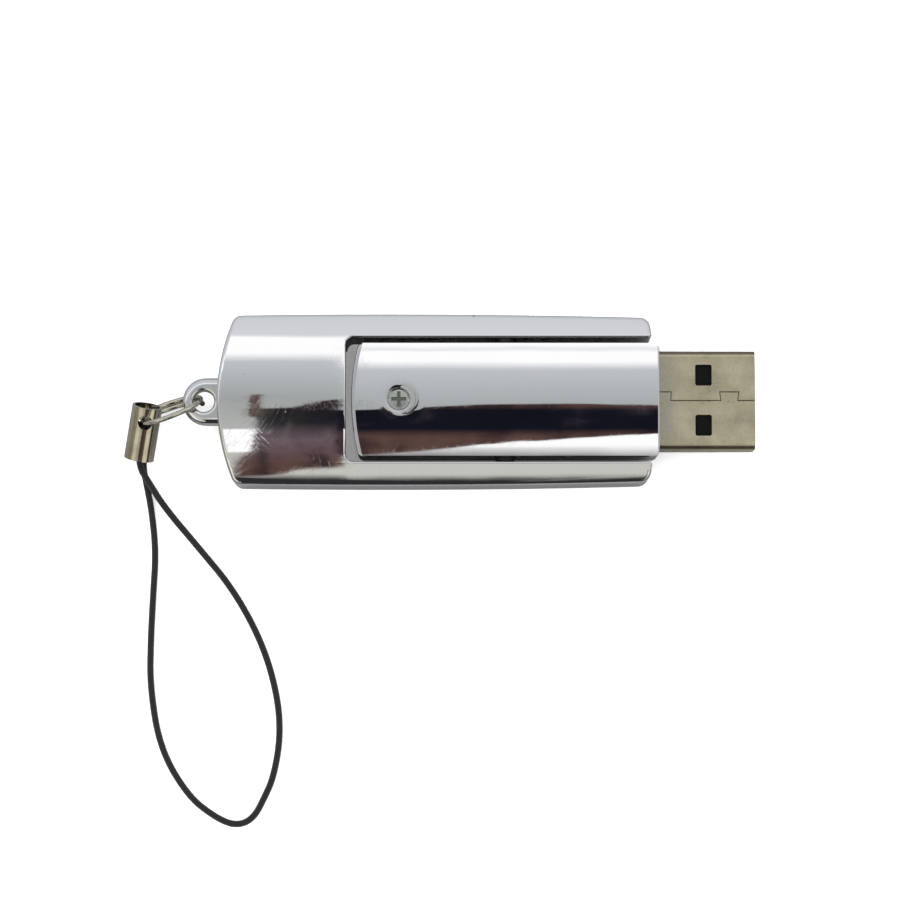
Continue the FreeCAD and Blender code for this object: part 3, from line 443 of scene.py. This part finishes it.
def cord_thread():
    """Dull black thread with a fine fibre."""
    material, kit, shader, spot = new_material("cord_thread")
    fibre = kit.noise(spot, 9000.0, 3.0, 0.7)
    kit.feed(shader.inputs["Base Color"], kit.mix(fibre, colour(9, 10, 9), colour(22, 23, 22)))
    shader.inputs["Roughness"].default_value = 0.75
    shader.inputs["Specular IOR Level"].default_value = 0.3
    shader.inputs["Sheen Weight"].default_value = 0.15
    kit.feed(shader.inputs["Normal"], kit.bump(fibre, 0.8, 0.00004))
    return material


thread = cord_thread()
cord_curve.materials.append(thread)
dress(thread, "cord_tails")
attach(cord, "strap")
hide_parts("cord_loop")


# ---- floor, surroundings and lights ----------------------------------------------------------------------

FLOOR_HALF = 2.0
FLOOR_DROP = 0.02 * MM          # below the object's foot, so that the two never share a plane
FLOOR_PALE = (0.8, 0.8, 0.8, 1.0)
FLOOR_MIRRORED = (0.19, 0.19, 0.19, 1.0)
FLOOR_GLOW = 0.2


def floor_plane():
    """White floor: a little brighter to the camera, and darker where polished metal mirrors it."""
    mesh = bpy.data.meshes.new("floor")
    ways = [(-1, -1), (1, -1), (1, 1), (-1, 1)]
    corners = [(side * FLOOR_HALF, end * FLOOR_HALF, 0) for side, end in ways]
    mesh.from_pydata(corners, [], [(0, 1, 2, 3)])
    floor = bpy.data.objects.new("floor", mesh)
    floor.location.z = -FLOOR_DROP
    scene.collection.objects.link(floor)
    material, kit, shader, _ = new_material("floor_white")
    sees = kit.add("ShaderNodeLightPath").outputs["Is Camera Ray"]
    mirrored = kit.add("ShaderNodeLightPath").outputs["Is Glossy Ray"]
    kit.feed(shader.inputs["Base Color"], kit.mix(mirrored, FLOOR_PALE, FLOOR_MIRRORED))
    shader.inputs["Roughness"].default_value = 0.9
    shader.inputs["Specular IOR Level"].default_value = 0.0
    shader.inputs["Emission Color"].default_value = (1, 1, 1, 1)
    kit.feed(shader.inputs["Emission Strength"], kit.math("MULTIPLY", sees, FLOOR_GLOW))
    mesh.materials.append(material)


floor_plane()


# The studio that polished metal reflects: a few plain surfaces, each of one tone.
WHITE = (255, 255, 255)
PALE = (210, 212, 216)
WALL = (195, 195, 188)
CEILING = (160, 164, 163)
CEILING_FAR = (190, 193, 197)
BENCH = (92, 68, 62)
PLUM = (100, 84, 92)
CARD = (18, 20, 30)
CHARCOAL = (38, 37, 40)
GAP = (44, 43, 46)
WARM_WHITE = (236, 232, 218)
WARM_GREY = (150, 144, 128)
LAMP = (1.3, 1.3, 1.3, 1.0)             # linear light, brighter than white
SURROUNDINGS = (2.0, 2.01, 2.02, 1.0)   # linear light, what all but mirrors get
STUDIO_GAIN = 1.24                      # makes up for the light that the plating takes
DIVIDE = -1.65                          # heading where the left half of the studio meets the right


def studio():
    """Plain pale surroundings. Polished metal also sees strip lights, a ceiling, a card and a bench."""
    world = bpy.data.worlds.new("studio")
    scene.world = world
    world.use_nodes = True
    tree = world.node_tree
    kit = Nodes(tree)
    background = tree.nodes["Background"]
    way = kit.add("ShaderNodeTexCoord").outputs["Generated"]
    parts = kit.add("ShaderNodeSeparateXYZ")
    kit.feed(parts.inputs[0], way)
    x, y, z = parts.outputs
    degrees = 180 / math.pi
    across = kit.math("MULTIPLY", kit.math("ARCTAN2", x, z), degrees)      # towards +X
    along = kit.math("MULTIPLY", kit.math("ARCTAN2", y, z), degrees)       # towards +Y

    # A slight wander in both angles, in degrees, so that no edge is dead straight.
    ripple = kit.noise(way, 60.0, 3.0, 0.6)
    across = kit.math("MULTIPLY_ADD", ripple, 0.24, kit.math("SUBTRACT", across, 0.12))
    along = kit.math("MULTIPLY_ADD", ripple, 0.8, kit.math("SUBTRACT", along, 0.4))

    def banded(value, widest, stops):
        """Tones at angles in degrees, blending from each to the next."""
        places = [((angle + widest) / (2 * widest), colour(*tone, STUDIO_GAIN)) for angle, tone in stops]
        return kit.ramp(kit.spread(value, -widest, widest), places)

    # From the horizon on the cord's side, over the top, to the far horizon.
    left = banded(along, 90, [
        (-90, GAP), (-22, GAP), (-20.5, WALL), (-18.5, WALL), (6, CEILING), (19, CEILING_FAR),
        (22, WHITE), (27.5, WHITE), (28.5, PALE), (45, CEILING_FAR), (90, CEILING_FAR)])
    right = banded(along, 90, [
        (-90, GAP), (-22.5, GAP), (-21, WALL), (-16, WALL), (-14, GAP), (-11, WHITE), (-3, WHITE),
        (0, CEILING), (16, CEILING_FAR), (19, WHITE), (22.5, WHITE), (23, PALE), (23.5, WHITE),
        (26.5, WHITE), (28.5, PALE), (45, CEILING_FAR), (90, CEILING_FAR)])
    dark_right = banded(along, 90, [(-90, BENCH), (-8, BENCH), (-5, CARD), (1.5, CARD), (4, BENCH)])
    dark_left = banded(along, 90, [(-90, BENCH), (-18, BENCH), (-9, PLUM), (-3, CHARCOAL), (1, CHARCOAL),
                                   (5, BENCH)])

    smudge = kit.add("ShaderNodeCombineXYZ")
    for socket, value in zip(smudge.inputs, (across, kit.math("MULTIPLY", along, 0.045), 1.0)):
        kit.feed(socket, value)
    smudge = kit.noise(smudge.outputs[0], 1.7, 3.0, 0.5, distortion=0.4)
    dark_left = kit.mix(kit.spread(smudge, 0.48, 0.38, 0.0, 0.7), dark_left, colour(*CARD))
    dark_left = kit.mix(kit.spread(smudge, 0.56, 0.70, 0.0, 0.45), dark_left, colour(*WARM_GREY))
    dark_right = kit.mix(kit.spread(smudge, 0.50, 0.38, 0.0, 0.6), dark_right, colour(*CARD))
    dark_right = kit.mix(kit.spread(smudge, 0.58, 0.70, 0.0, 0.35), dark_right, colour(*PLUM))

    def above(value, limit, soft):
        """1 where value is past the limit, with a soft edge."""
        return kit.spread(kit.math("SUBTRACT", value, limit), -soft, soft, smooth=True)

    # The dark things overhead stand between a far edge and a near edge, each a gentle curve.
    far_edge = kit.bend(across, [(-5, 1), (-1, 2), (1, 3.8), (2.2, 3.8), (5, 0)], -5, 5)
    near_edge = kit.bend(across, [(-5, -14), (-1, -13), (1, -9.5), (3, -7), (5, -5)], -5, 5)
    inside = kit.math("MULTIPLY", above(far_edge, along, 0.25), above(along, near_edge, 0.25))
    right = kit.mix(inside, right, dark_right)

    far_edge = kit.bend(across, [(-5, 2), (-3, 2), (-2.2, 3.8), (-1.6, 5.6), (5, 6)], -5, 5)
    near_edge = kit.bend(across, [(-5, -22), (-3, -21), (-2.2, -19), (5, -18)], -5, 5)
    outer_edge = kit.bend(along, [(-25, -3.6), (-17, -3.5), (-11, -3.1), (10, -3.2)], -25, 10)
    inside = kit.math("MULTIPLY", above(far_edge, along, 0.3), above(along, near_edge, 0.4))
    inside = kit.math("MULTIPLY", inside, above(across, outer_edge, 0.03))

    def patch(west, east, south, north, soft):
        """1 inside a box of headings, with soft edges."""
        sides = kit.math("MULTIPLY", above(across, west, 0.015), above(east, across, 0.015))
        return kit.math("MULTIPLY", sides,
                        kit.math("MULTIPLY", above(along, south, soft), above(north, along, soft)))

    left = kit.mix(patch(-3.75, -2.7, -13, -5, 0.4), left, LAMP)
    left = kit.mix(patch(-3.2, -2.9, -1, 7, 0.5), left, colour(*BENCH))     # the lamp's stand
    left = kit.mix(inside, left, dark_left)
    pattern = kit.mix(kit.spread(across, DIVIDE - 0.03, DIVIDE + 0.02), left, right)

    # Low down on the cord's side, what small round things see, by heading from straight ahead.
    lowest = banded(across, 180, [
        (-180, WARM_GREY), (-62, WARM_GREY), (-58, WARM_WHITE), (-32, WARM_WHITE), (-28, WALL),
        (-13, WALL), (-8, GAP), (8, GAP), (10, BENCH), (28, BENCH), (35, WARM_WHITE), (68, WARM_WHITE),
        (74, BENCH), (110, BENCH), (125, WARM_GREY), (180, WARM_GREY)])

    # It takes the dark gap's place between about 22 and 62 degrees from straight up.
    reach = kit.math("MULTIPLY", kit.spread(along, -21.8, -22.8), kit.spread(along, -66, -58))
    pattern = kit.mix(reach, pattern, lowest)

    path = kit.add("ShaderNodeLightPath")
    kit.feed(background.inputs["Color"], kit.mix(path.outputs["Is Glossy Ray"], SURROUNDINGS, pattern))
    background.inputs["Strength"].default_value = 1.0


studio()


def soft_light(name, place, size, power):
    """A square softbox that faces the object and isn't mirrored in it."""
    data = bpy.data.lights.new(name, "AREA")
    data.shape = "SQUARE"
    data.size = size
    data.energy = power
    lamp = bpy.data.objects.new(name, data)
    lamp.location = place
    lamp.rotation_euler = (-Vector(place)).to_track_quat("-Z", "Y").to_euler()
    lamp.visible_glossy = False
    scene.collection.objects.link(lamp)


soft_light("key_light", (-0.35, 0.3, 0.6), 0.35, 2.2)

scene.view_layers[0].update()
